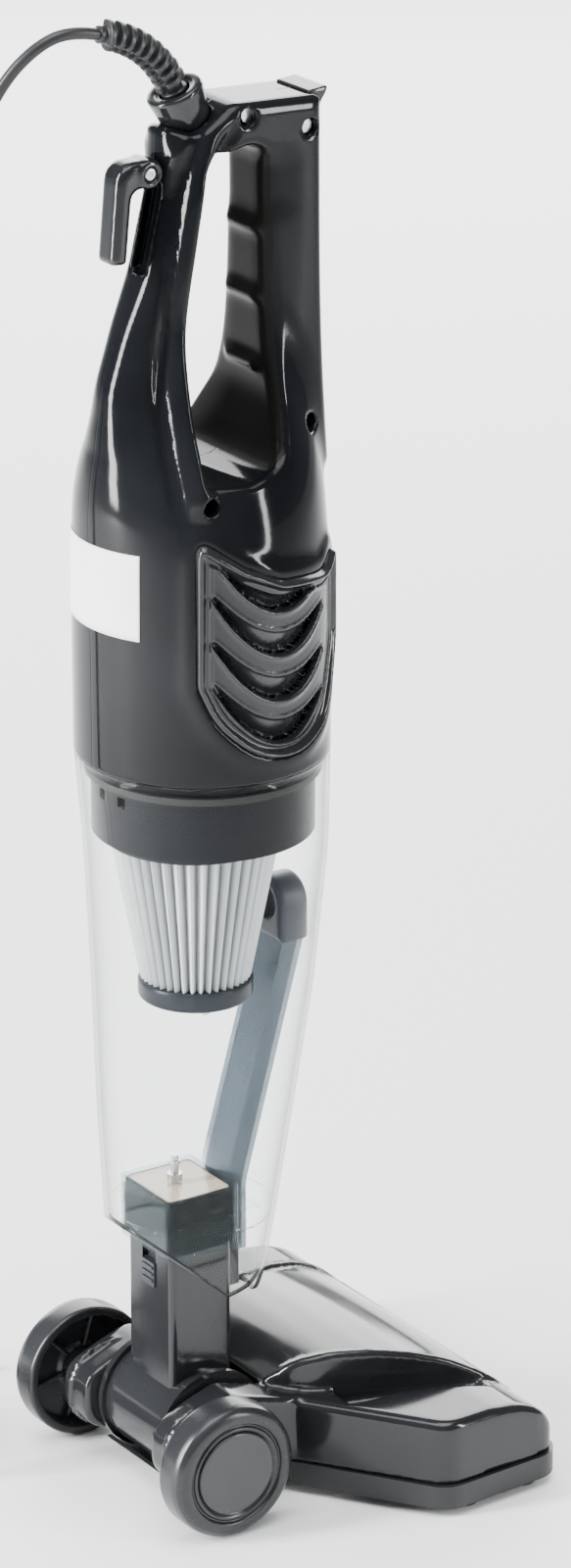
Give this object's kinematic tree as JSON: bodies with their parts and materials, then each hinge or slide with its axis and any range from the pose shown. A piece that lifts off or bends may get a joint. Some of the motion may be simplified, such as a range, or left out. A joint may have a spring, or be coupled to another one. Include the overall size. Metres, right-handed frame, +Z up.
{
  "type": "upright vacuum cleaner",
  "caption": "Upright stick vacuum with a wheeled floor head, tilting neck, clear lift-off dust cup and loop-handled motor unit with vents, cord hook and power cord.",
  "frame": {"origin": "on the floor under the middle of the cleaner's own footprint, cord left out", "axes": "+Z up, the head's suction edge faces -Y, the cleaner's right side is -X"},
  "size_m": [0.2601, 0.2937, 0.6485],
  "materials": {
    "cover_black": "gloss moulded plastic",
    "base_black": "textured moulded plastic",
    "duct_inner": "moulded plastic",
    "foot_rubber": "soft rubber",
    "lint_felt": "directional lint fabric",
    "steel": "bright steel",
    "wheel_black": "gloss moulded plastic",
    "wheel_cap": "gloss moulded plastic",
    "bush": "natural acetal",
    "gasket": "cream soft rubber",
    "button_grey": "gloss moulded plastic",
    "cup_clear": "clear polycarbonate",
    "duct_clear": "smoke-blue translucent plastic",
    "hood_dark": "moulded rubber",
    "label": "white film, blank",
    "collar_black": "moulded plastic",
    "seal": "soft rubber",
    "stator": "laminated steel and windings",
    "filter_white": "pleated filter paper",
    "filter_frame": "moulded plastic",
    "tab_clear": "film",
    "cord_pvc": "soft PVC",
    "release_blue": "gloss moulded plastic",
    "brass": "plated brass"
  },
  "bodies": {
    "head": {"head_top_cover": "cover_black", "head_base_plate": "base_black", "head_air_duct": "duct_inner", "glide_feet": "foot_rubber", "lint_strips": "lint_felt", "head_screws": "steel", "neck_pivot_pins": "steel", "wheel_axles": "steel", "axle_clips": "steel"},
    "wheel_left": {"wheel_left": "wheel_black", "wheel_cap_left": "wheel_cap"},
    "wheel_right": {"wheel_right": "wheel_black", "wheel_cap_right": "wheel_cap"},
    "neck": {"neck_tube": "cover_black", "neck_barrel_cover": "cover_black", "pivot_bushes": "bush", "neck_top_gasket": "gasket", "neck_button_spring": "steel"},
    "neck_button": {"neck_release_button": "button_grey"},
    "dust_cup": {"dust_cup": "cup_clear", "inlet_duct": "duct_clear", "duct_hood": "hood_dark", "socket_screw": "steel"},
    "motor_unit": {"housing_right": "cover_black", "housing_left": "cover_black", "housing_screws": "steel", "handle_front_trim": "cover_black", "rating_label": "label", "vent_grille_right": "cover_black", "vent_grille_left": "cover_black", "motor_collar": "collar_black", "cup_seal": "seal", "motor_mount_plate": "collar_black", "motor_mount_rings": "seal", "motor_can": "steel", "motor_stator": "stator", "motor_rear_bridge": "collar_black", "switch_body": "collar_black", "button_bracket": "collar_black", "cup_button_spring": "steel", "cord_gland": "cover_black", "cord_boot": "cord_pvc", "inner_lead": "cord_pvc", "power_cord": "cord_pvc", "cord_tail": "cord_pvc", "cord_coil": "cord_pvc", "plug_body": "cord_pvc", "plug_pins": "brass"},
    "filter": {"filter_pleats": "filter_white", "filter_top_frame": "filter_frame", "filter_bottom_cap": "filter_frame", "filter_pull_tab": "tab_clear"},
    "fan": {"motor_rotor": "stator", "fan_impeller": "collar_black", "fan_nut": "steel"},
    "power_switch": {"power_switch_slider": "button_grey"},
    "cup_release": {"cup_release_button": "release_blue"},
    "cord_hook": {"cord_hook": "cover_black", "hook_clip": "steel"}
  },
  "joints": [
    {"name": "wheel_left_spin", "type": "hinge", "parent": "head", "child": "wheel_left", "pos_m": [0.06, 0.059, 0.03], "axis": [1, 0, 0], "continuous": true},
    {"name": "wheel_right_spin", "type": "hinge", "parent": "head", "child": "wheel_right", "pos_m": [-0.06, 0.059, 0.03], "axis": [1, 0, 0], "continuous": true},
    {"name": "neck_tilt", "type": "hinge", "parent": "head", "child": "neck", "pos_m": [0, 0.04425, 0.03], "axis": [-1, 0, 0], "range_deg": [0, 72]},
    {"name": "neck_button_press", "type": "slide", "parent": "neck", "child": "neck_button", "axis": [0, -1, 0], "range_m": [0, 0.0025], "stiffness_N_per_m": 300, "springref_m": -0.002},
    {"name": "dust_cup_lift", "type": "slide", "parent": "neck", "child": "dust_cup", "axis": [0, 0, 1], "range_m": [0, 0.045]},
    {"name": "motor_unit_lift", "type": "slide", "parent": "dust_cup", "child": "motor_unit", "axis": [0, 0, 1], "range_m": [0, 0.045]},
    {"name": "filter_pull", "type": "slide", "parent": "motor_unit", "child": "filter", "axis": [0, 0, -1], "range_m": [0, 0.012]},
    {"name": "fan_spin", "type": "hinge", "parent": "motor_unit", "child": "fan", "pos_m": [0, 0.0312, 0.32], "axis": [0, 0, 1], "continuous": true},
    {"name": "power_switch_slide", "type": "slide", "parent": "motor_unit", "child": "power_switch", "axis": [0, 0, 1], "range_m": [0, 0.006]},
    {"name": "cup_release_press", "type": "slide", "parent": "motor_unit", "child": "cup_release", "axis": [0, 1, 0], "range_m": [0, 0.003], "stiffness_N_per_m": 500, "springref_m": -0.002},
    {"name": "cord_hook_swivel", "type": "hinge", "parent": "motor_unit", "child": "cord_hook", "pos_m": [0, 0.055, 0.583], "axis": [0, 1, 0], "range_deg": [0, 180]}
  ]
}
